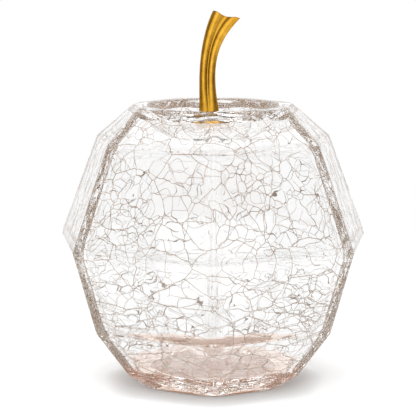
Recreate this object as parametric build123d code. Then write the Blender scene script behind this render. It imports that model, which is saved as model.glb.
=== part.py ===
from build123d import *
import math
import os

# Art glass apple: a hollow faceted glass body with a dished top, a cast stem whose spigot sits in the
# neck bore over a silicone plug, and a cork pad under the base.
# Millimetres, +Z up. The origin is on the standing surface under the middle of the body, and the
# stem leans towards +X. The front, with its two wide facets, faces -Y.

# Glass body, outside: seven-sided rings from the foot up to the rim, measured to their corners. One
# corner is in front, and the facets' shares of the turn are in degrees.
FRONT_CORNER = 270.0
FRONT_FACET = 57.0
SIDE_FACET = 48.0
BACK_FACETS = 3
FOOT_RADIUS = 32.0
FOOT_LIFT = 0.8
HEEL_RADIUS = 39.8
HEEL_HEIGHT = 6.8
HAUNCH_RADIUS = 54.6
HAUNCH_HEIGHT = 25.5
GIRDLE_RADIUS = 65.0
GIRDLE_HEIGHT = 58.5
SHOULDER_RADIUS = 49.2
SHOULDER_DROP = 13.7
RIM_RADIUS = 34.0
RIM_HEIGHT = 113.2
RIDGE_ROUND = 0.8
END_ROUND = 14.0
RING_ROUND = 0.6
RIM_ROUND = 1.6

# Glass body, inside: the blown hollow follows the facets, and the dish has the bore for the stem
WALL = 5.0
FLOOR = 7.0
RIM_SOLID = 6.0
CAVITY_RIDGE_ROUND = 6.0
CAVITY_RING_ROUND = 12.0
DISH_RADIUS = 27.0
DISH_DEPTH = 10.5
DISH_WALL = 5.0
SEAT_MARGIN = 1.0
NECK_BORE = 5.6
NECK_OFFSET = -1.3
BORE_EDGE = 0.4

# Cork pad in the recess under the base, standing proud of the glass by the foot's lift
PAD_RADIUS = 24.5
PAD_THICKNESS = 3.0
PAD_GAP = 0.4

# Silicone plug that closes the bore under the stem's spigot
PLUG_GAP = 0.05
PLUG_LENGTH = 1.8
PLUG_TAPER = 1.0

# Stem: a spigot, a straight shank, a bend towards +X and a flared tip, with two lobes side by side
SPIGOT_GAP = 0.2
SPIGOT_LENGTH = 2.7
STEM_LEAN = -3.0
STEM_SHANK = 20.5
STEM_ANKLE = 9.3
STEM_BEND_RADIUS = 40.6
STEM_BEND = 39.0
STEM_THROAT = 0.55
TIP_TILT = 16.0
TIP_DISH_RADIUS = 12.0
TIP_DISH_DEPTH = 0.9

# Stem sections: lobe radius, lobe distance from the middle, radius of the valley between the lobes
FOOT_SECTION = (4.4, 1.1, 1.5)
ANKLE_SECTION = (2.5, 1.3, 0.8)
WAIST_SECTION = (1.7, 1.5, 0.5)
THROAT_SECTION = (1.9, 1.8, 0.7)
TIP_SECTION = (2.3, 3.3, 2.4)

# Levels, and the flat seat in the middle of the dish
SHOULDER_HEIGHT = RIM_HEIGHT - SHOULDER_DROP
RECESS_TOP = PAD_THICKNESS
CAVITY_FLOOR = RECESS_TOP + FLOOR
SEAT_HEIGHT = RIM_HEIGHT - DISH_DEPTH
SEAT_RADIUS = FOOT_SECTION[0] + FOOT_SECTION[1] + abs(NECK_OFFSET) + SEAT_MARGIN
CEILING = SEAT_HEIGHT - DISH_WALL
SPIGOT_END = SEAT_HEIGHT - SPIGOT_LENGTH

RINGS = (
    (FOOT_RADIUS, FOOT_LIFT),
    (HEEL_RADIUS, HEEL_HEIGHT),
    (HAUNCH_RADIUS, HAUNCH_HEIGHT),
    (GIRDLE_RADIUS, GIRDLE_HEIGHT),
    (SHOULDER_RADIUS, SHOULDER_HEIGHT),
    (RIM_RADIUS, RIM_HEIGHT),
)
TOLERANCE = 0.001
CUT_MARGIN = 1.0


def rod(radius, bottom, top, across=0):
    """An upright cylinder between two levels, on the axis or beside it along X."""
    upward = (Align.CENTER, Align.CENTER, Align.MIN)
    return Pos(across, 0, bottom) * Cylinder(radius, top - bottom, align=upward)


def ring_corners(radius):
    """Corners of a ring: one in front, then round by the front, side and back facets."""
    back_facet = (360 - 2 * (FRONT_FACET + SIDE_FACET)) / BACK_FACETS
    widths = [FRONT_FACET, SIDE_FACET] + [back_facet] * BACK_FACETS + [SIDE_FACET]
    turns = [FRONT_CORNER + sum(widths[:count]) for count in range(len(widths) + 1)]
    return [Vector(radius, 0).rotate(Axis.Z, turn) for turn in turns]


def faceted_block(rings, ridge_round, ring_round, end_round):
    """Facets between seven-sided rings: soft ridges and middle rings, rounder rings at both ends."""
    bottom, top = rings[0][1], rings[-1][1]
    sections = []
    for radius, height in rings:
        ring = Polygon(*ring_corners(radius), align=None)
        softness = end_round if height in (bottom, top) else ridge_round
        sections.append(Pos(0, 0, height) * fillet(ring.vertices(), softness))
    block = loft(sections, ruled=True)
    level_edges = block.edges().filter_by(lambda edge: edge.bounding_box().size.Z < TOLERANCE)
    middle = level_edges.filter_by_position(Axis.Z, bottom, top, inclusive=(False, False))
    return fillet(middle, ring_round)


def dish_tool(wall):
    """What the dish takes out of the top: a flat seat and a bowl, grown by the wall under it."""
    slope = 2 * math.atan2(DISH_DEPTH, DISH_RADIUS - SEAT_RADIUS)
    floor = SEAT_HEIGHT - wall
    lip_radius = DISH_RADIUS + wall * math.sin(slope)
    lip_height = RIM_HEIGHT - wall * math.cos(slope)
    above = RIM_HEIGHT + CUT_MARGIN
    seat = Line((0, floor), (SEAT_RADIUS, floor))
    bowl = TangentArc((SEAT_RADIUS, floor), (lip_radius, lip_height), tangent=(1, 0))
    top = Polyline((lip_radius, lip_height), (lip_radius, above), (0, above), (0, floor))
    return revolve(Plane.XZ * make_face(Curve() + [seat, bowl, top]), Axis.Z)


def cavity():
    """The blown hollow: its rings lie one wall inside the facets, over a thicker floor."""
    flat_share = math.cos(math.pi / len(ring_corners(GIRDLE_RADIUS)))
    corners = [Vector(radius * flat_share, height) for radius, height in RINGS]
    slopes = [upper - lower for lower, upper in zip(corners, corners[1:])]
    normals = [slope.normalized().rotate(Axis.Z, 90) for slope in slopes]
    inner = [
        corner + (below + above) * (WALL / (1 + below.dot(above)))
        for corner, below, above in zip(corners[1:-1], normals, normals[1:])
    ]
    crown = slopes[-1]
    top_height = RIM_HEIGHT - RIM_SOLID
    top_radius = inner[-1].X + (top_height - inner[-1].Y) * crown.X / crown.Y
    profile = [(inner[0].X, CAVITY_FLOOR)]
    profile += [(corner.X, corner.Y) for corner in inner[1:]]
    profile += [(top_radius, top_height)]
    rings = [(flat / flat_share, height) for flat, height in profile]
    hollow = faceted_block(rings, CAVITY_RIDGE_ROUND, CAVITY_RING_ROUND, CAVITY_RIDGE_ROUND)
    return hollow - dish_tool(DISH_WALL)


def glass_body():
    """The hollow shell with its dish, neck bore and the recess for the pad."""
    glass = faceted_block(RINGS, RIDGE_ROUND, RING_ROUND, END_ROUND) - dish_tool(0)
    rim = glass.faces().sort_by(Axis.Z)[-1]
    glass = fillet(rim.edges(), RIM_ROUND)
    recess = rod(PAD_RADIUS + PAD_GAP, 0, RECESS_TOP)
    bore = rod(NECK_BORE / 2, CEILING, SEAT_HEIGHT, NECK_OFFSET)
    glass = glass - cavity() - recess - bore
    bore_edges = glass.edges().filter_by(GeomType.CIRCLE).filter_by(
        lambda edge: abs(edge.radius - NECK_BORE / 2) < TOLERANCE
    )
    return chamfer(bore_edges, BORE_EDGE)


def base_pad():
    """The disc that the apple stands on."""
    return rod(PAD_RADIUS, 0, PAD_THICKNESS)


def neck_plug():
    """The plug in the bore, tapered towards the hollow."""
    wide = NECK_BORE / 2 - PLUG_GAP
    narrow = wide - PLUG_TAPER
    downward = (Align.CENTER, Align.CENTER, Align.MAX)
    return Pos(NECK_OFFSET, 0, SPIGOT_END) * Cone(narrow, wide, PLUG_LENGTH, align=downward)


def lobed_section(plane, lobe, spread, valley):
    """Two round lobes side by side, joined at the front and the back by hollow valleys."""
    reach = math.sqrt((lobe + valley) ** 2 - spread**2)
    meet_x = spread * valley / (lobe + valley)
    meet_y = reach * lobe / (lobe + valley)
    half_turn = math.atan2(meet_y, meet_x - spread) / 2
    middle_x = spread + lobe * math.cos(half_turn)
    middle_y = lobe * math.sin(half_turn)
    outline = Curve()
    for face in (1, -1):
        for side in (1, -1):
            outline += ThreePointArc(
                (side * meet_x, face * meet_y),
                (side * middle_x, face * middle_y),
                (side * (spread + lobe), 0),
            )
        outline += ThreePointArc(
            (-meet_x, face * meet_y), (0, face * (reach - valley)), (meet_x, face * meet_y)
        )
    return plane * make_face(outline)


def tilted_plane(point, lean):
    """A plane at a point of the stem's centre line, leaning towards +X by an angle in degrees."""
    across = math.cos(math.radians(lean))
    along = math.sin(math.radians(lean))
    return Plane(origin=point, x_dir=(across, 0, -along), z_dir=(along, 0, across))


def stem():
    """The cast stem, lofted along its centre line, with a dished tip and a spigot under its foot."""
    shank = PolarLine((NECK_OFFSET, SEAT_HEIGHT), STEM_SHANK, 90 - STEM_LEAN)
    bend = JernArc(shank @ 1, shank % 1, STEM_BEND_RADIUS, -STEM_BEND)
    shank = Plane.XZ * shank
    bend = Plane.XZ * bend
    throat_lean = STEM_LEAN + STEM_THROAT * STEM_BEND
    tip = tilted_plane(bend @ 1, TIP_TILT)
    sections = [
        lobed_section(tilted_plane(shank @ 0, 0), *FOOT_SECTION),
        lobed_section(tilted_plane(shank @ (STEM_ANKLE / STEM_SHANK), STEM_LEAN), *ANKLE_SECTION),
        lobed_section(tilted_plane(shank @ 1, STEM_LEAN), *WAIST_SECTION),
        lobed_section(tilted_plane(bend @ STEM_THROAT, throat_lean), *THROAT_SECTION),
        lobed_section(tip, *TIP_SECTION),
    ]
    casting = loft(sections)
    dish = tip.offset(TIP_DISH_RADIUS - TIP_DISH_DEPTH) * Sphere(TIP_DISH_RADIUS)
    spigot = rod(NECK_BORE / 2 - SPIGOT_GAP, SPIGOT_END, SEAT_HEIGHT, NECK_OFFSET)
    return casting - dish + spigot


PIECES = {
    "glass_body": glass_body,
    "base_pad": base_pad,
    "neck_plug": neck_plug,
    "stem": stem,
}

os.makedirs("parts", exist_ok=True)
for node, make_piece in PIECES.items():
    export_step(make_piece(), f"parts/{node}.step")
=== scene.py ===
"""Art glass apple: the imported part's looks, laid out as a Blender add-on and run as a script."""

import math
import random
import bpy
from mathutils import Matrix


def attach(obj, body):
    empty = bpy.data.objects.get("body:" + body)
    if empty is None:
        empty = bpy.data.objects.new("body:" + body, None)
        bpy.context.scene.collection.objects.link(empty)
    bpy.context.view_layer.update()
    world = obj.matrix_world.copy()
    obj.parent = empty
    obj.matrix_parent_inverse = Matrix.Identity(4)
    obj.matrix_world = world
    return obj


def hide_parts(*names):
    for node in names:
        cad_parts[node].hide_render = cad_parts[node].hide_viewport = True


bl_info = {
    "name": "Art glass apple",
    "version": (1, 0, 0),
    "blender": (4, 5, 0),
    "location": "3D View > Sidebar > Glass apple",
    "description": "Builds the crackle glass, the gold stem, the plug, the pad and the stage",
    "category": "Object",
}

import bmesh
import bpy
from bpy.props import FloatProperty, FloatVectorProperty, IntProperty, PointerProperty
from mathutils import Matrix, Vector, kdtree, noise

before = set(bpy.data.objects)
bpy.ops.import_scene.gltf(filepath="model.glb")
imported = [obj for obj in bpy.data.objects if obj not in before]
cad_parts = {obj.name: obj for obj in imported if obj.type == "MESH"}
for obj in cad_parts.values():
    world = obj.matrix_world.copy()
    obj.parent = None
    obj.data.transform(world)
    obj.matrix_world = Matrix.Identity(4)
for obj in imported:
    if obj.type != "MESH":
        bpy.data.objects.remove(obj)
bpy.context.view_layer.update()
MM = 0.001
WHITE = (1.0, 1.0, 1.0)


def linear(hex_colour):
    """An sRGB hex colour as linear red, green and blue."""
    channels = [int(hex_colour[i : i + 2], 16) / 255 for i in (1, 3, 5)]
    return tuple(c / 12.92 if c <= 0.04045 else ((c + 0.055) / 1.055) ** 2.4 for c in channels)


def solid(colour):
    """A colour with full alpha, as a shader socket takes it."""
    return (*colour, 1.0)


def add(tree, kind, inputs=None, **settings):
    """Adds a node with its settings, and sets or links its inputs."""
    node = tree.nodes.new(kind)
    for name, value in settings.items():
        setattr(node, name, value)
    for key, value in (inputs or {}).items():
        if isinstance(value, bpy.types.NodeSocket):
            tree.links.new(value, node.inputs[key])
        else:
            node.inputs[key].default_value = value
    return node


def new_material(name):
    """An empty node material and its tree."""
    material = bpy.data.materials.new(name)
    material.use_nodes = True
    material.node_tree.nodes.clear()
    return material, material.node_tree


def finish_material(tree, surface):
    """Links the surface shader to a new output node."""
    add(tree, "ShaderNodeOutputMaterial", {"Surface": surface.outputs[0]})


class GlassSettings(bpy.types.PropertyGroup):
    tint: FloatVectorProperty(
        name="Tint", description="Colour of the clear glass", subtype="COLOR",
        default=linear("#FFFFFF"),
    )
    # Painted reflection: this tint stands in for the cork's colour seen in the thick glass at the
    # foot
    painted_cork_tint: FloatVectorProperty(
        name="Foot tint", description="Colour that the cork lends the thick glass at the foot",
        subtype="COLOR", default=linear("#FFEEE2"),
    )
    ior: FloatProperty(name="IOR", description="Refraction of soda-lime glass", default=1.5)
    wave_size: FloatProperty(
        name="Wave size", description="Width of the waves that blowing leaves", unit="LENGTH",
        default=9 * MM,
    )
    wave_height: FloatProperty(
        name="Wave height", description="Height of those waves", unit="LENGTH", default=0.24 * MM
    )


class CrackSettings(bpy.types.PropertyGroup):
    main_cell: FloatProperty(
        name="Main cell", description="Width of the cells between long cracks", unit="LENGTH",
        default=10.5 * MM,
    )
    fine_cell: FloatProperty(
        name="Fine cell", description="Width of the cells between all cracks", unit="LENGTH",
        default=5.0 * MM,
    )
    width: FloatProperty(
        name="Width", description="Width of a long crack's line", unit="LENGTH", default=0.26 * MM
    )
    depth: FloatProperty(
        name="Depth", description="How deep a crack runs into the wall", unit="LENGTH",
        default=0.12 * MM,
    )
    dark: FloatVectorProperty(
        name="Dark", description="Colour of the darker cracks", subtype="COLOR",
        default=linear("#B29478"),
    )
    pale: FloatVectorProperty(
        name="Pale", description="Colour of the paler cracks", subtype="COLOR",
        default=linear("#E2CEBA"),
    )
    # Painted glints: spots of this colour stand in for the gold stem mirrored in the cracks
    amber: FloatVectorProperty(
        name="Amber", description="Colour of the few glinting spots", subtype="COLOR",
        default=linear("#C98A2A"),
    )
    # Painted reflection: the cracks low down take this colour for the cork that they reflect
    foot: FloatVectorProperty(
        name="Foot", description="Colour of the cracks round the foot", subtype="COLOR",
        default=linear("#FF9C58"),
    )
    seed: IntProperty(name="Seed", description="Start of the random draws", default=7)


class StemSettings(bpy.types.PropertyGroup):
    gold: FloatVectorProperty(
        name="Gold", description="Colour of the satin gold", subtype="COLOR",
        default=linear("#DAA63A"),
    )
    worn: FloatVectorProperty(
        name="Worn gold", description="Colour of its duller spots", subtype="COLOR",
        default=linear("#C48F2E"),
    )
    edge: FloatVectorProperty(
        name="Edge", description="Tint of the metal at a glancing angle", subtype="COLOR",
        default=linear("#8A5A18"),
    )
    # Painted shade: this colour darkens the groove where it is closed in, for the shade that falls
    # there
    painted_groove_shade: FloatVectorProperty(
        name="Patina", description="Colour deep in the groove", subtype="COLOR",
        default=linear("#8A5E14"),
    )
    roughness: FloatProperty(
        name="Roughness", description="Roughness of the satin finish", subtype="FACTOR",
        default=0.36,
    )


class PlugSettings(bpy.types.PropertyGroup):
    silicone: FloatVectorProperty(
        name="Silicone", description="Colour of the plug", subtype="COLOR",
        default=linear("#D9D2C8"),
    )


class PadSettings(bpy.types.PropertyGroup):
    film: FloatProperty(
        name="Film", description="Air between the pad and the glass over it", unit="LENGTH",
        default=0.12 * MM,
    )
    edge: FloatProperty(
        name="Edge", description="Softness of the cut edge", unit="LENGTH", default=0.25 * MM
    )
    cork: FloatVectorProperty(
        name="Cork", description="Main colour of the pad", subtype="COLOR",
        default=linear("#FFD6B8"),
    )
    bark: FloatVectorProperty(
        name="Bark", description="Colour of its darker grains", subtype="COLOR",
        default=linear("#E8B088"),
    )
    fleck: FloatVectorProperty(
        name="Fleck", description="Colour of its few bright grains", subtype="COLOR",
        default=linear("#E07A2C"),
    )
    grain: FloatProperty(
        name="Grain", description="Width of a cork grain", unit="LENGTH", default=2.2 * MM
    )


class StageSettings(bpy.types.PropertyGroup):
    floor: FloatVectorProperty(
        name="Floor", description="Colour of the floor", subtype="COLOR", default=linear("#F8F8F8")
    )
    shadow: FloatVectorProperty(
        name="Shadow", description="Colour of the floor close under the glass", subtype="COLOR",
        default=linear("#BEBCBA"),
    )
    # Painted bounce light and shade: the floor seen through the glass takes this colour close to
    # the cork
    painted_cork_bounce: FloatVectorProperty(
        name="Cork glow",
        description="Colour of the floor close to the cork, as the glass shows it",
        subtype="COLOR", default=linear("#F6E4D8"),
    )
    shadow_reach: FloatProperty(
        name="Shadow reach", description="How far off the glass still shades the floor",
        unit="LENGTH", default=11 * MM,
    )
    floor_lift: FloatProperty(
        name="Floor lift", description="White that the camera sees over the floor's own shade",
        default=0.09,
    )
    floor_white: FloatProperty(
        name="Floor white", description="White of the floor as the glass shows it", default=1.0
    )
    floor_reach: FloatProperty(
        name="Floor reach", description="Radius of the floor round the apple", unit="LENGTH",
        default=0.4,
    )
    sky: FloatProperty(name="Sky", description="Strength of the light from all round", default=1.0)
    sides: FloatProperty(
        name="Sides", description="Strength of the room's front sides as metal mirrors them",
        default=0.18,
    )
    key_watts: FloatProperty(
        name="Key", description="Power of the soft light overhead", unit="POWER", default=6.0
    )
    front_watts: FloatProperty(
        name="Front", description="Power of the soft light in front", unit="POWER", default=2.5
    )
    lens: FloatProperty(
        name="Lens", description="Focal length in millimetres", unit="CAMERA", default=162.0
    )
    camera_place: FloatVectorProperty(
        name="Camera", description="Where the camera stands", unit="LENGTH",
        default=(-2.1 * MM, -748.8 * MM, 182.3 * MM),
    )
    camera_tilt: FloatProperty(
        name="Tilt", description="Turn of the camera from straight down", unit="ROTATION",
        default=math.radians(81.56),
    )


class AppleSettings(bpy.types.PropertyGroup):
    glass: PointerProperty(type=GlassSettings)
    cracks: PointerProperty(type=CrackSettings)
    stem: PointerProperty(type=StemSettings)
    plug: PointerProperty(type=PlugSettings)
    pad: PointerProperty(type=PadSettings)
    stage: PointerProperty(type=StageSettings)


def set_finish(node, material):
    """Gives a CAD node its material."""
    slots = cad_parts[node].data.materials
    slots.clear()
    slots.append(material)


def link_object(name, data):
    """Makes an object from its data and puts it in the scene."""
    item = bpy.data.objects.new(name, data)
    bpy.context.scene.collection.objects.link(item)
    return item


def mesh_object(name, bm, material):
    """Makes an object from a bmesh and its material."""
    mesh = bpy.data.meshes.new(name)
    bm.to_mesh(mesh)
    bm.free()
    mesh.materials.append(material)
    return link_object(name, mesh)


def new_piece(name, bm, material):
    """Makes a piece of the apple, which rides on its one body."""
    piece = mesh_object(name, bm, material)
    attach(piece, "root")
    return piece


# Glass: the heights at which the painted reflection of the cork at the foot starts and is full
TINT_START = 9 * MM
TINT_FULL = 2 * MM


def blown_glass(settings):
    """Soda-lime glass, mould-blown: clear and glossy, with slow waves that bend what lies behind.
    Low down a faint warm tint is painted in, for the cork's colour reflected in the thick foot."""
    material, tree = new_material("blown soda-lime glass")
    place = add(tree, "ShaderNodeTexCoord").outputs["Object"]
    height = add(tree, "ShaderNodeSeparateXYZ", {"Vector": place}).outputs["Z"]
    low = add(
        tree, "ShaderNodeMapRange",
        {"Value": height, "From Min": TINT_START, "From Max": TINT_FULL},
    )
    # Painted reflection: the glass turns faintly warm low down, for the cork that the thick foot
    # shows
    colour = add(
        tree, "ShaderNodeMix",
        {
            "Factor": low.outputs["Result"],
            "A": solid(settings.tint),
            "B": solid(settings.painted_cork_tint),
        },
        data_type="RGBA",
    )
    waves = add(
        tree, "ShaderNodeTexNoise",
        {"Vector": place, "Scale": 1 / settings.wave_size, "Detail": 1.0},
    )
    bump = add(
        tree, "ShaderNodeBump",
        {"Height": waves.outputs["Fac"], "Strength": 1.0, "Distance": settings.wave_height},
    )
    glass = add(
        tree, "ShaderNodeBsdfPrincipled",
        {
            "Base Color": colour.outputs["Result"],
            "Roughness": 0.0,
            "IOR": settings.ior,
            "Transmission Weight": 1.0,
            "Normal": bump.outputs["Normal"],
        },
    )
    finish_material(tree, glass)
    return material


# Cracks: the width of their dark and pale patches and the noise levels where these end, the
# spacing of the amber spots painted as glints and a spot's radius as a share of it, and the heights
# at which the peach painted for the cork's reflection starts and is full
CRACK_PATCH = 6 * MM
CRACK_DARK_TO = 0.35
CRACK_PALE_FROM = 0.62
GLINT_SPACING = 9 * MM
GLINT_RADIUS = 0.13
PEACH_START = 14 * MM
PEACH_FULL = 5 * MM


def crack_finish(settings):
    """Healed cracks in glass: thin brownish films, paler in places, some painted amber glints.
    Near the cork they are painted peach, for the cork that they reflect."""
    material, tree = new_material("healed glass crack")
    place = add(tree, "ShaderNodeTexCoord").outputs["Object"]
    patches = add(
        tree, "ShaderNodeTexNoise", {"Vector": place, "Scale": 1 / CRACK_PATCH, "Detail": 2.0}
    )
    tone = add(tree, "ShaderNodeValToRGB", {"Fac": patches.outputs["Fac"]})
    tone.color_ramp.elements[0].position = CRACK_DARK_TO
    tone.color_ramp.elements[0].color = solid(settings.dark)
    tone.color_ramp.elements[1].position = CRACK_PALE_FROM
    tone.color_ramp.elements[1].color = solid(settings.pale)
    # Painted glints: a few amber spots for the gold stem mirrored in the cracks
    spots = add(
        tree, "ShaderNodeTexVoronoi", {"Vector": place, "Scale": 1 / GLINT_SPACING}, feature="F1"
    )
    glint_mask = add(
        tree, "ShaderNodeMath",
        {0: spots.outputs["Distance"], 1: GLINT_RADIUS},
        operation="LESS_THAN",
    )
    # Painted reflection: low down the cracks turn peach, for the cork that they reflect
    height = add(tree, "ShaderNodeSeparateXYZ", {"Vector": place}).outputs["Z"]
    low = add(
        tree, "ShaderNodeMapRange",
        {"Value": height, "From Min": PEACH_START, "From Max": PEACH_FULL},
    )
    warm = add(
        tree, "ShaderNodeMix",
        {"Factor": low.outputs["Result"], "A": tone.outputs["Color"], "B": solid(settings.foot)},
        data_type="RGBA",
    )
    colour = add(
        tree, "ShaderNodeMix",
        {"Factor": glint_mask.outputs[0], "A": warm.outputs["Result"], "B": solid(settings.amber)},
        data_type="RGBA",
    )
    film = add(
        tree, "ShaderNodeBsdfPrincipled",
        {"Base Color": colour.outputs["Result"], "Roughness": 0.35},
    )
    finish_material(tree, film)
    return material


# Gold: the width of its mottling and the noise levels where dull ends and bright begins, how near
# the groove's sides are looked for and how open it is where the painted shade is full and where it
# ends, and the brushing's grain, which is drawn coarser than it is so that it shows
MOTTLE_SIZE = 3 * MM
DULL_TO = 0.3
BRIGHT_FROM = 0.6
GROOVE_REACH = 3 * MM
GROOVE_SHUT = 0.6
GROOVE_OPEN = 0.95
BRUSH_SIZE = 0.6 * MM
BRUSH_HEIGHT = 0.05 * MM


def satin_gold(settings):
    """Cast metal, gold plated, brushed satin: soft highlights, darker edges, painted groove shade.
    """
    material, tree = new_material("satin gold plate")
    place = add(tree, "ShaderNodeTexCoord").outputs["Object"]
    mottle = add(
        tree, "ShaderNodeTexNoise", {"Vector": place, "Scale": 1 / MOTTLE_SIZE, "Detail": 4.0}
    )
    tone = add(tree, "ShaderNodeValToRGB", {"Fac": mottle.outputs["Fac"]})
    tone.color_ramp.elements[0].position = DULL_TO
    tone.color_ramp.elements[0].color = solid(settings.worn)
    tone.color_ramp.elements[1].position = BRIGHT_FROM
    tone.color_ramp.elements[1].color = solid(settings.gold)
    # Painted shade: ambient occlusion darkens the groove towards this colour, for the shade there
    openness = add(tree, "ShaderNodeAmbientOcclusion", {"Distance": GROOVE_REACH}, only_local=True)
    unshaded = add(
        tree, "ShaderNodeMapRange",
        {"Value": openness.outputs["AO"], "From Min": GROOVE_SHUT, "From Max": GROOVE_OPEN},
    )
    colour = add(
        tree, "ShaderNodeMix",
        {
            "Factor": unshaded.outputs["Result"],
            "A": solid(settings.painted_groove_shade),
            "B": tone.outputs["Color"],
        },
        data_type="RGBA",
    )
    grain = add(
        tree, "ShaderNodeTexNoise", {"Vector": place, "Scale": 1 / BRUSH_SIZE, "Detail": 2.0}
    )
    bump = add(
        tree, "ShaderNodeBump",
        {"Height": grain.outputs["Fac"], "Strength": 0.25, "Distance": BRUSH_HEIGHT},
    )
    gold = add(
        tree, "ShaderNodeBsdfPrincipled",
        {
            "Base Color": colour.outputs["Result"],
            "Metallic": 1.0,
            "Roughness": settings.roughness,
            "Specular Tint": solid(settings.edge),
            "Normal": bump.outputs["Normal"],
        },
    )
    finish_material(tree, gold)
    return material


# Silicone: the width of the patches in its bloom, and its roughness in and between them
BLOOM_SIZE = 1.5 * MM
BLOOM_ROUGHNESS = (0.45, 0.7)


def cast_silicone(settings):
    """Cast silicone, pale grey and slightly milky: satin, with a fine dusty bloom."""
    material, tree = new_material("cast silicone")
    place = add(tree, "ShaderNodeTexCoord").outputs["Object"]
    bloom = add(
        tree, "ShaderNodeTexNoise", {"Vector": place, "Scale": 1 / BLOOM_SIZE, "Detail": 3.0}
    )
    smooth, dusty = BLOOM_ROUGHNESS
    rough = add(
        tree, "ShaderNodeMapRange",
        {"Value": bloom.outputs["Fac"], "To Min": smooth, "To Max": dusty},
    )
    silicone = add(
        tree, "ShaderNodeBsdfPrincipled",
        {"Base Color": solid(settings.silicone), "Roughness": rough.outputs["Result"]},
    )
    finish_material(tree, silicone)
    return material


# Cork: each grain draws a number from 0 to 1, and these say where bark ends, where plain cork
# starts and ends and where flecks start. The last is how high a grain stands.
BARK_TO = 0.1
CORK_FROM = 0.45
CORK_TO = 0.93
FLECK_FROM = 0.96
GRAIN_HEIGHT = 0.2 * MM


def pressed_cork(settings):
    """Agglomerated cork, cut from sheet: matt warm grains about 2 mm wide, with darker bark and
    a few bright flecks among them."""
    material, tree = new_material("pressed cork")
    place = add(tree, "ShaderNodeTexCoord").outputs["Object"]
    grains = add(
        tree, "ShaderNodeTexVoronoi", {"Vector": place, "Scale": 1 / settings.grain}, feature="F1"
    )
    level = add(tree, "ShaderNodeSeparateColor", {"Color": grains.outputs["Color"]})
    tone = add(tree, "ShaderNodeValToRGB", {"Fac": level.outputs["Red"]})
    tone.color_ramp.elements[0].position = BARK_TO
    tone.color_ramp.elements[0].color = solid(settings.bark)
    tone.color_ramp.elements[1].position = CORK_FROM
    tone.color_ramp.elements[1].color = solid(settings.cork)
    tone.color_ramp.elements.new(CORK_TO).color = solid(settings.cork)
    tone.color_ramp.elements.new(FLECK_FROM).color = solid(settings.fleck)
    bump = add(
        tree, "ShaderNodeBump",
        {"Height": grains.outputs["Distance"], "Strength": 0.4, "Distance": GRAIN_HEIGHT},
    )
    cork = add(
        tree, "ShaderNodeBsdfPrincipled",
        {"Base Color": tone.outputs["Color"], "Roughness": 0.85, "Normal": bump.outputs["Normal"]},
    )
    finish_material(tree, cork)
    return material


# Floor: the width of the sheet's fibres, drawn wider than they are so that they show, and its
# roughness along them
FIBRE_SIZE = 4 * MM
FIBRE_ROUGHNESS = (0.8, 0.95)


def pale_floor(settings):
    """Pale studio sheet: matt, shaded close to the glass, and lifted towards white for the camera.
    Through the glass it shows white, with painted warm bounce light and shade close to the cork."""
    material, tree = new_material("pale studio sheet")
    place = add(tree, "ShaderNodeTexCoord").outputs["Object"]
    fibre = add(tree, "ShaderNodeTexNoise", {"Vector": place, "Scale": 1 / FIBRE_SIZE})
    smooth, coarse = FIBRE_ROUGHNESS
    rough = add(
        tree, "ShaderNodeMapRange",
        {"Value": fibre.outputs["Fac"], "To Min": smooth, "To Max": coarse},
    )
    openness = add(tree, "ShaderNodeAmbientOcclusion", {"Distance": settings.shadow_reach})
    shaded = add(
        tree, "ShaderNodeMix",
        {"Factor": openness.outputs["AO"], "A": solid(settings.shadow), "B": solid(settings.floor)},
        data_type="RGBA",
    )
    sheet = add(
        tree, "ShaderNodeBsdfDiffuse",
        {"Color": shaded.outputs["Result"], "Roughness": rough.outputs["Result"]},
    )
    path = add(tree, "ShaderNodeLightPath")
    lift = add(
        tree, "ShaderNodeMath",
        {0: path.outputs["Is Camera Ray"], 1: settings.floor_lift},
        operation="MULTIPLY",
    )
    glow = add(tree, "ShaderNodeEmission", {"Strength": lift.outputs[0]})
    seen = add(tree, "ShaderNodeAddShader", {0: sheet.outputs[0], 1: glow.outputs[0]})
    # Painted bounce light and shade: seen through the glass, the floor warms towards the cork where
    # it is closed in
    bounce_tint = add(
        tree, "ShaderNodeMix",
        {"Factor": openness.outputs["AO"], "A": solid(settings.painted_cork_bounce), "B": solid(WHITE)},
        data_type="RGBA",
    )
    white = add(
        tree, "ShaderNodeEmission",
        {"Color": bounce_tint.outputs["Result"], "Strength": settings.floor_white},
    )
    both = add(
        tree, "ShaderNodeMixShader",
        {"Fac": path.outputs["Is Transmission Ray"], 1: seen.outputs[0], 2: white.outputs[0]},
    )
    finish_material(tree, both)
    return material


# The cracks run on thin seven-sided shells inside the glass: corner radius and height in
# millimetres, and the directions of the corners. One goes from the middle of the floor out and up
# the wall, over the rim and down into the dish, and one nearer the outside from the foot up the
# lower wall. The last three say how finely they are divided and how soft their ridges are.
CRACK_SHELLS = (
    (
        (1.0, 9.2), (20.0, 9.2), (37.2, 9.2), (51.1, 27.0), (61.0, 58.4), (46.0, 97.5),
        (35.7, 107.2), (32.0, 110.4), (29.0, 110.9), (27.0, 109.0), (24.1, 106.1),
        (16.5, 101.7), (9.5, 100.3),
    ),
    ((29.5, 2.2), (31.0, 2.3), (38.5, 7.9), (53.2, 26.4), (57.7, 40.0)),
)
SHELL_CORNERS = [math.radians(turn) for turn in (270, 327, 15, 65, 115, 165, 213)]
SHELL_EDGE = 1.4 * MM
SHELL_PASSES = 6
SHELL_SMOOTHING = 8

# Cells: their seeds crowd together in patches and towards the apple's sides, their outlines wander
# in wide and in small waves, and below a height they come out flat
PATCH_SIZE = 30 * MM
PATCH_BASE = 1.1
SIDE_REACH = 60 * MM
SIDE_BASE = 0.5
WANDER_SIZE = 7 * MM
WANDER_REACH = 1.6 * MM
JITTER_SIZE = 2.5 * MM
JITTER_REACH = 0.5 * MM
FLAT_BELOW = 55 * MM
FLATTENING = 0.7

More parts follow.
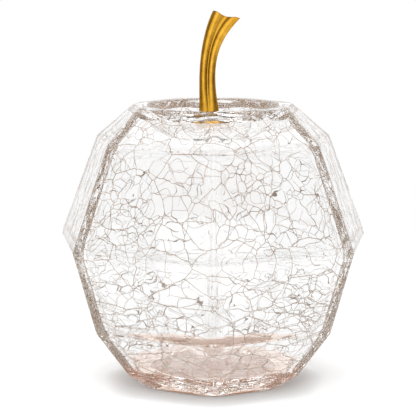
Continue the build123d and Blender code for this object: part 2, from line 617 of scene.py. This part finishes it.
# Lines: the share of the full width that each shell's long cracks have, the shares that a fine
# crack draws from, where 0 is no crack, how often the lines are smoothed, how near two of their
# points may be, a crack's share of its width at its inner edge, and the vertex group for the shares
SHELL_STRENGTH = (1.0, 0.6)
FINE_STRENGTHS = (0.0, 0.0, 0.55, 0.65, 0.7, 0.8)
LINE_SMOOTHING = 7
LINE_STEP = 0.7 * MM
INNER_SHARE = 0.35
WIDTH_GROUP = 0


def soften(bm, passes):
    """Draws every vertex halfway to its neighbours, a number of times."""
    for _ in range(passes):
        bmesh.ops.smooth_vert(
            bm, verts=bm.verts, factor=0.5, use_axis_x=True, use_axis_y=True, use_axis_z=True
        )


def crack_shell():
    """The shells as a fine triangle mesh with soft ridges."""
    bm = bmesh.new()
    for number, shell in enumerate(CRACK_SHELLS):
        rings = []
        for radius, height in shell:
            corners = [
                bm.verts.new(
                    (radius * MM * math.cos(turn), radius * MM * math.sin(turn), height * MM)
                )
                for turn in SHELL_CORNERS
            ]
            rings.append([bm.edges.new(pair) for pair in zip(corners, corners[1:] + corners[:1])])
        for lower, upper in zip(rings, rings[1:]):
            for face in bmesh.ops.bridge_loops(bm, edges=lower + upper)["faces"]:
                face.material_index = number
    bmesh.ops.recalc_face_normals(bm, faces=bm.faces)
    for _ in range(SHELL_PASSES):
        long_edges = [edge for edge in bm.edges if edge.calc_length() > SHELL_EDGE]
        bmesh.ops.subdivide_edges(bm, edges=long_edges, cuts=1, use_grid_fill=True)
        bmesh.ops.triangulate(bm, faces=bm.faces)
    soften(bm, SHELL_SMOOTHING)
    return bm


def crack_space(point):
    """Where a point lies for the cells: moved about a little, and drawn out in height low down, so
    that the cells there come out flat."""
    low = max(0.0, FLAT_BELOW - point.z)
    warp = noise.noise_vector(point / WANDER_SIZE) * WANDER_REACH
    warp += noise.noise_vector(point / JITTER_SIZE) * JITTER_REACH
    return Vector((point.x, point.y, point.z - FLATTENING * low)) + warp


def cell_labels(faces, cell, rng):
    """The nearest seed's number for each face: seeds about a cell apart, closer at the sides."""
    areas = [face.calc_area() for face in faces]
    count = int(sum(areas) / (cell * cell))
    centres = [face.calc_center_median() for face in faces]
    crowding = [
        area
        * (PATCH_BASE + noise.noise(centre / PATCH_SIZE)) ** 2
        * (SIDE_BASE + abs(centre.x) / SIDE_REACH)
        for area, centre in zip(areas, centres)
    ]
    seeds = rng.choices(range(len(faces)), weights=crowding, k=count)
    tree = kdtree.KDTree(count)
    places = [crack_space(centre) for centre in centres]
    for number, face_index in enumerate(seeds):
        tree.insert(places[face_index], number)
    tree.balance()
    return [tree.find(place)[1] for place in places]


def crack_network(settings):
    """Lines between the cells, each drawn out to a thin strip that narrows into the wall."""
    rng = random.Random(settings.seed)
    noise.seed_set(settings.seed)
    bm = crack_shell()
    faces = list(bm.faces)
    for index, face in enumerate(faces):
        face.index = index
    main_cells = cell_labels(faces, settings.main_cell, rng)
    fine_cells = cell_labels(faces, settings.fine_cell, rng)
    outward = bm.verts.layers.float_vector.new("outward")
    for vert in bm.verts:
        vert[outward] = vert.normal
    weight = bm.verts.layers.deform.verify()
    drawn = {}
    uncracked = []
    for edge in bm.edges:
        strength = 0.0
        if len(edge.link_faces) == 2:
            first, second = (face.index for face in edge.link_faces)
            shell = edge.link_faces[0].material_index
            if main_cells[first] != main_cells[second]:
                strength = SHELL_STRENGTH[shell]
            elif shell == 0 and fine_cells[first] != fine_cells[second]:
                pair = tuple(sorted((fine_cells[first], fine_cells[second])))
                if pair not in drawn:
                    drawn[pair] = rng.choice(FINE_STRENGTHS)
                strength = drawn[pair]
        if strength:
            for vert in edge.verts:
                vert[weight][WIDTH_GROUP] = max(strength, vert[weight].get(WIDTH_GROUP, 0.0))
        else:
            uncracked.append(edge)
    bmesh.ops.delete(bm, geom=list(bm.faces), context="FACES_ONLY")
    bmesh.ops.delete(bm, geom=uncracked, context="EDGES")
    soften(bm, LINE_SMOOTHING)
    bmesh.ops.remove_doubles(bm, verts=bm.verts, dist=LINE_STEP)
    inner = bmesh.ops.extrude_edge_only(bm, edges=bm.edges)["geom"]
    for item in inner:
        if isinstance(item, bmesh.types.BMVert):
            item.co -= item[outward] * settings.depth
            item[weight][WIDTH_GROUP] *= INNER_SHARE
    bmesh.ops.split_edges(bm, edges=[edge for edge in bm.edges if len(edge.link_faces) > 2])
    bmesh.ops.recalc_face_normals(bm, faces=bm.faces)
    return bm


class BuildOperator:
    """What the operators share: they show among the last operations and can be undone."""

    bl_options = {"REGISTER", "UNDO"}


class APPLE_OT_glass(BuildOperator, bpy.types.Operator):
    """Gives the blown body its clear glass"""

    bl_idname = "glass_apple.glass"
    bl_label = "Clear glass body"

    def execute(self, context):
        set_finish("glass_body", blown_glass(context.scene.glass_apple.glass))
        return {"FINISHED"}


class APPLE_OT_cracks(BuildOperator, bpy.types.Operator):
    """Grows the net of healed cracks inside the wall"""

    bl_idname = "glass_apple.cracks"
    bl_label = "Crackle"

    def execute(self, context):
        settings = context.scene.glass_apple.cracks
        net = crack_network(settings)
        piece = new_piece("crackle_net", net, crack_finish(settings))
        piece.vertex_groups.new(name="width")
        wall = piece.modifiers.new("width", "SOLIDIFY")
        wall.thickness = settings.width
        wall.offset = 0.0
        wall.vertex_group = "width"
        return {"FINISHED"}


class APPLE_OT_stem(BuildOperator, bpy.types.Operator):
    """Gives the cast stem its satin gold"""

    bl_idname = "glass_apple.stem"
    bl_label = "Gold stem"

    def execute(self, context):
        set_finish("stem", satin_gold(context.scene.glass_apple.stem))
        return {"FINISHED"}


class APPLE_OT_plug(BuildOperator, bpy.types.Operator):
    """Gives the plug in the neck bore its silicone"""

    bl_idname = "glass_apple.plug"
    bl_label = "Neck plug"

    def execute(self, context):
        set_finish("neck_plug", cast_silicone(context.scene.glass_apple.plug))
        return {"FINISHED"}


PAD_SEGMENTS = 128
PAD_EDGE_SEGMENTS = 2


def pad_disc(settings):
    """The pad with eased edges, its top just clear of the glass, so that the glass shows it."""
    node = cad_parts["base_pad"]
    corners = [node.matrix_world @ Vector(corner) for corner in node.bound_box]
    radius = max(corner.x for corner in corners)
    height = max(corner.z for corner in corners) - settings.film
    bm = bmesh.new()
    bmesh.ops.create_cone(
        bm, cap_ends=True, segments=PAD_SEGMENTS, radius1=radius, radius2=radius, depth=height,
        matrix=Matrix.Translation((0, 0, height / 2)),
    )
    rims = [edge for edge in bm.edges if edge.verts[0].co.z == edge.verts[1].co.z]
    bmesh.ops.bevel(
        bm, geom=rims, offset=settings.edge, affect="EDGES", segments=PAD_EDGE_SEGMENTS,
        profile=0.5, material=-1,
    )
    return bm


class APPLE_OT_pad(BuildOperator, bpy.types.Operator):
    """Makes the cork pad under the base"""

    bl_idname = "glass_apple.pad"
    bl_label = "Cork pad"

    def execute(self, context):
        settings = context.scene.glass_apple.pad
        pad = new_piece("cork_pad", pad_disc(settings), pressed_cork(settings))
        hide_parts("base_pad")
        return {"FINISHED"}


# Stage: how far aside a mirrored ray finds the room darken and darkest, and how far back it finds
# the room lighten again and white, as parts of the ray's unit length
FLOOR_SEGMENTS = 96
DARK_START = 0.2
DARK_FULL = 0.75
BACK_START = 0.1
BACK_FULL = 0.6

# The soft lights' edge lengths, their places and the points that they face, in metres
OVERHEAD_SIZE = 1.2
OVERHEAD_PLACE = (0, 0.35, 0.85)
OVERHEAD_AIM = (0, 0, 0.06)
FRONT_SIZE = 1.0
FRONT_PLACE = (-0.25, -0.8, 0.3)
FRONT_AIM = (0, 0, 0.12)

# The camera's sensor in millimetres, the nearest that it sees, and the bounces that light needs to
# come through the glass walls and cracks
SENSOR_WIDTH = 36.0
CLIP_START = 10 * MM
LIGHT_BOUNCES = 48


def white_room(settings):
    """A white world all round. Only mirrored rays find its sides darker in front, so that the gold
    gets its contrast and the glass stays clear."""
    world = bpy.data.worlds.new("white surroundings")
    world.use_nodes = True
    tree = world.node_tree
    tree.nodes.clear()
    path = add(tree, "ShaderNodeLightPath")
    way = add(tree, "ShaderNodeTexCoord").outputs["Generated"]
    axes = add(tree, "ShaderNodeSeparateXYZ", {"Vector": way})
    aside = add(tree, "ShaderNodeMath", {0: axes.outputs["X"]}, operation="ABSOLUTE")
    sides = add(
        tree, "ShaderNodeMapRange",
        {
            "Value": aside.outputs[0],
            "From Min": DARK_START,
            "From Max": DARK_FULL,
            "To Min": 1.0,
            "To Max": settings.sides,
        },
    )
    back = add(
        tree, "ShaderNodeMapRange",
        {"Value": axes.outputs["Y"], "From Min": BACK_START, "From Max": BACK_FULL},
    )
    gloss = add(
        tree, "ShaderNodeMath",
        {0: sides.outputs["Result"], 1: back.outputs["Result"]},
        operation="MAXIMUM",
    )
    # A ray that the glass bends counts as glossy too, so only those also reflected are taken
    mirrored = add(
        tree, "ShaderNodeMath",
        {0: path.outputs["Is Glossy Ray"], 1: path.outputs["Is Reflection Ray"]},
        operation="MULTIPLY",
    )
    level = add(
        tree, "ShaderNodeMapRange",
        {"Value": mirrored.outputs[0], "To Min": settings.sky, "To Max": gloss.outputs[0]},
    )
    sky = add(
        tree, "ShaderNodeBackground", {"Color": solid(WHITE), "Strength": level.outputs["Result"]}
    )
    add(tree, "ShaderNodeOutputWorld", {"Surface": sky.outputs[0]})
    return world


def soft_light(name, watts, size, place, target):
    """A square soft light that faces a point."""
    light = bpy.data.lights.new(name, "AREA")
    light.energy = watts
    light.size = size
    lamp = link_object(name, light)
    lamp.location = place
    lamp.rotation_euler = (Vector(target) - Vector(place)).to_track_quat("-Z", "Y").to_euler()
    return lamp


def photo_camera(settings):
    """The camera at the photograph's viewing angle."""
    camera = bpy.data.cameras.new("photo angle")
    camera.lens = settings.lens
    camera.sensor_width = SENSOR_WIDTH
    camera.clip_start = CLIP_START
    eye = link_object("photo angle", camera)
    eye.location = settings.camera_place
    eye.rotation_euler = (settings.camera_tilt, 0, 0)
    return eye


class APPLE_OT_stage(BuildOperator, bpy.types.Operator):
    """Sets up the floor, the plain white surroundings, the soft lights and the camera"""

    bl_idname = "glass_apple.stage"
    bl_label = "Stage"

    def execute(self, context):
        scene = context.scene
        settings = scene.glass_apple.stage
        bm = bmesh.new()
        bmesh.ops.create_circle(
            bm, cap_ends=True, segments=FLOOR_SEGMENTS, radius=settings.floor_reach
        )
        floor = mesh_object("studio_floor", bm, pale_floor(settings))
        scene.world = white_room(settings)
        # The facets would mirror the overhead light as a white square
        overhead = soft_light(
            "overhead", settings.key_watts, OVERHEAD_SIZE, OVERHEAD_PLACE, OVERHEAD_AIM
        )
        overhead.visible_glossy = False
        soft_light("front", settings.front_watts, FRONT_SIZE, FRONT_PLACE, FRONT_AIM)
        scene.camera = photo_camera(settings)
        scene.view_settings.view_transform = "Standard"
        scene.cycles.max_bounces = LIGHT_BOUNCES
        scene.cycles.transmission_bounces = LIGHT_BOUNCES
        scene.cycles.glossy_bounces = LIGHT_BOUNCES
        return {"FINISHED"}


STEPS = (
    APPLE_OT_stage, APPLE_OT_glass, APPLE_OT_cracks, APPLE_OT_stem, APPLE_OT_plug, APPLE_OT_pad,
)


class APPLE_PT_sidebar(bpy.types.Panel):
    """Lists the operators, and below them the settings of each piece"""

    bl_label = "Glass apple"
    bl_space_type = "VIEW_3D"
    bl_region_type = "UI"
    bl_category = "Glass apple"

    def draw(self, context):
        for step in STEPS:
            self.layout.operator(step.bl_idname)
        for name in AppleSettings.__annotations__:
            group = getattr(context.scene.glass_apple, name)
            box = self.layout.box()
            box.label(text=name.capitalize())
            for key in group.__annotations__:
                box.prop(group, key)


CLASSES = (
    GlassSettings, CrackSettings, StemSettings, PlugSettings, PadSettings, StageSettings,
    AppleSettings, *STEPS, APPLE_PT_sidebar,
)


def register():
    for cls in CLASSES:
        bpy.utils.register_class(cls)
    bpy.types.Scene.glass_apple = PointerProperty(type=AppleSettings)


def unregister():
    del bpy.types.Scene.glass_apple
    for cls in reversed(CLASSES):
        bpy.utils.unregister_class(cls)


def main():
    register()
    for step in STEPS:
        group, name = step.bl_idname.split(".")
        getattr(getattr(bpy.ops, group), name)()


if __name__ == "__main__":
    main()
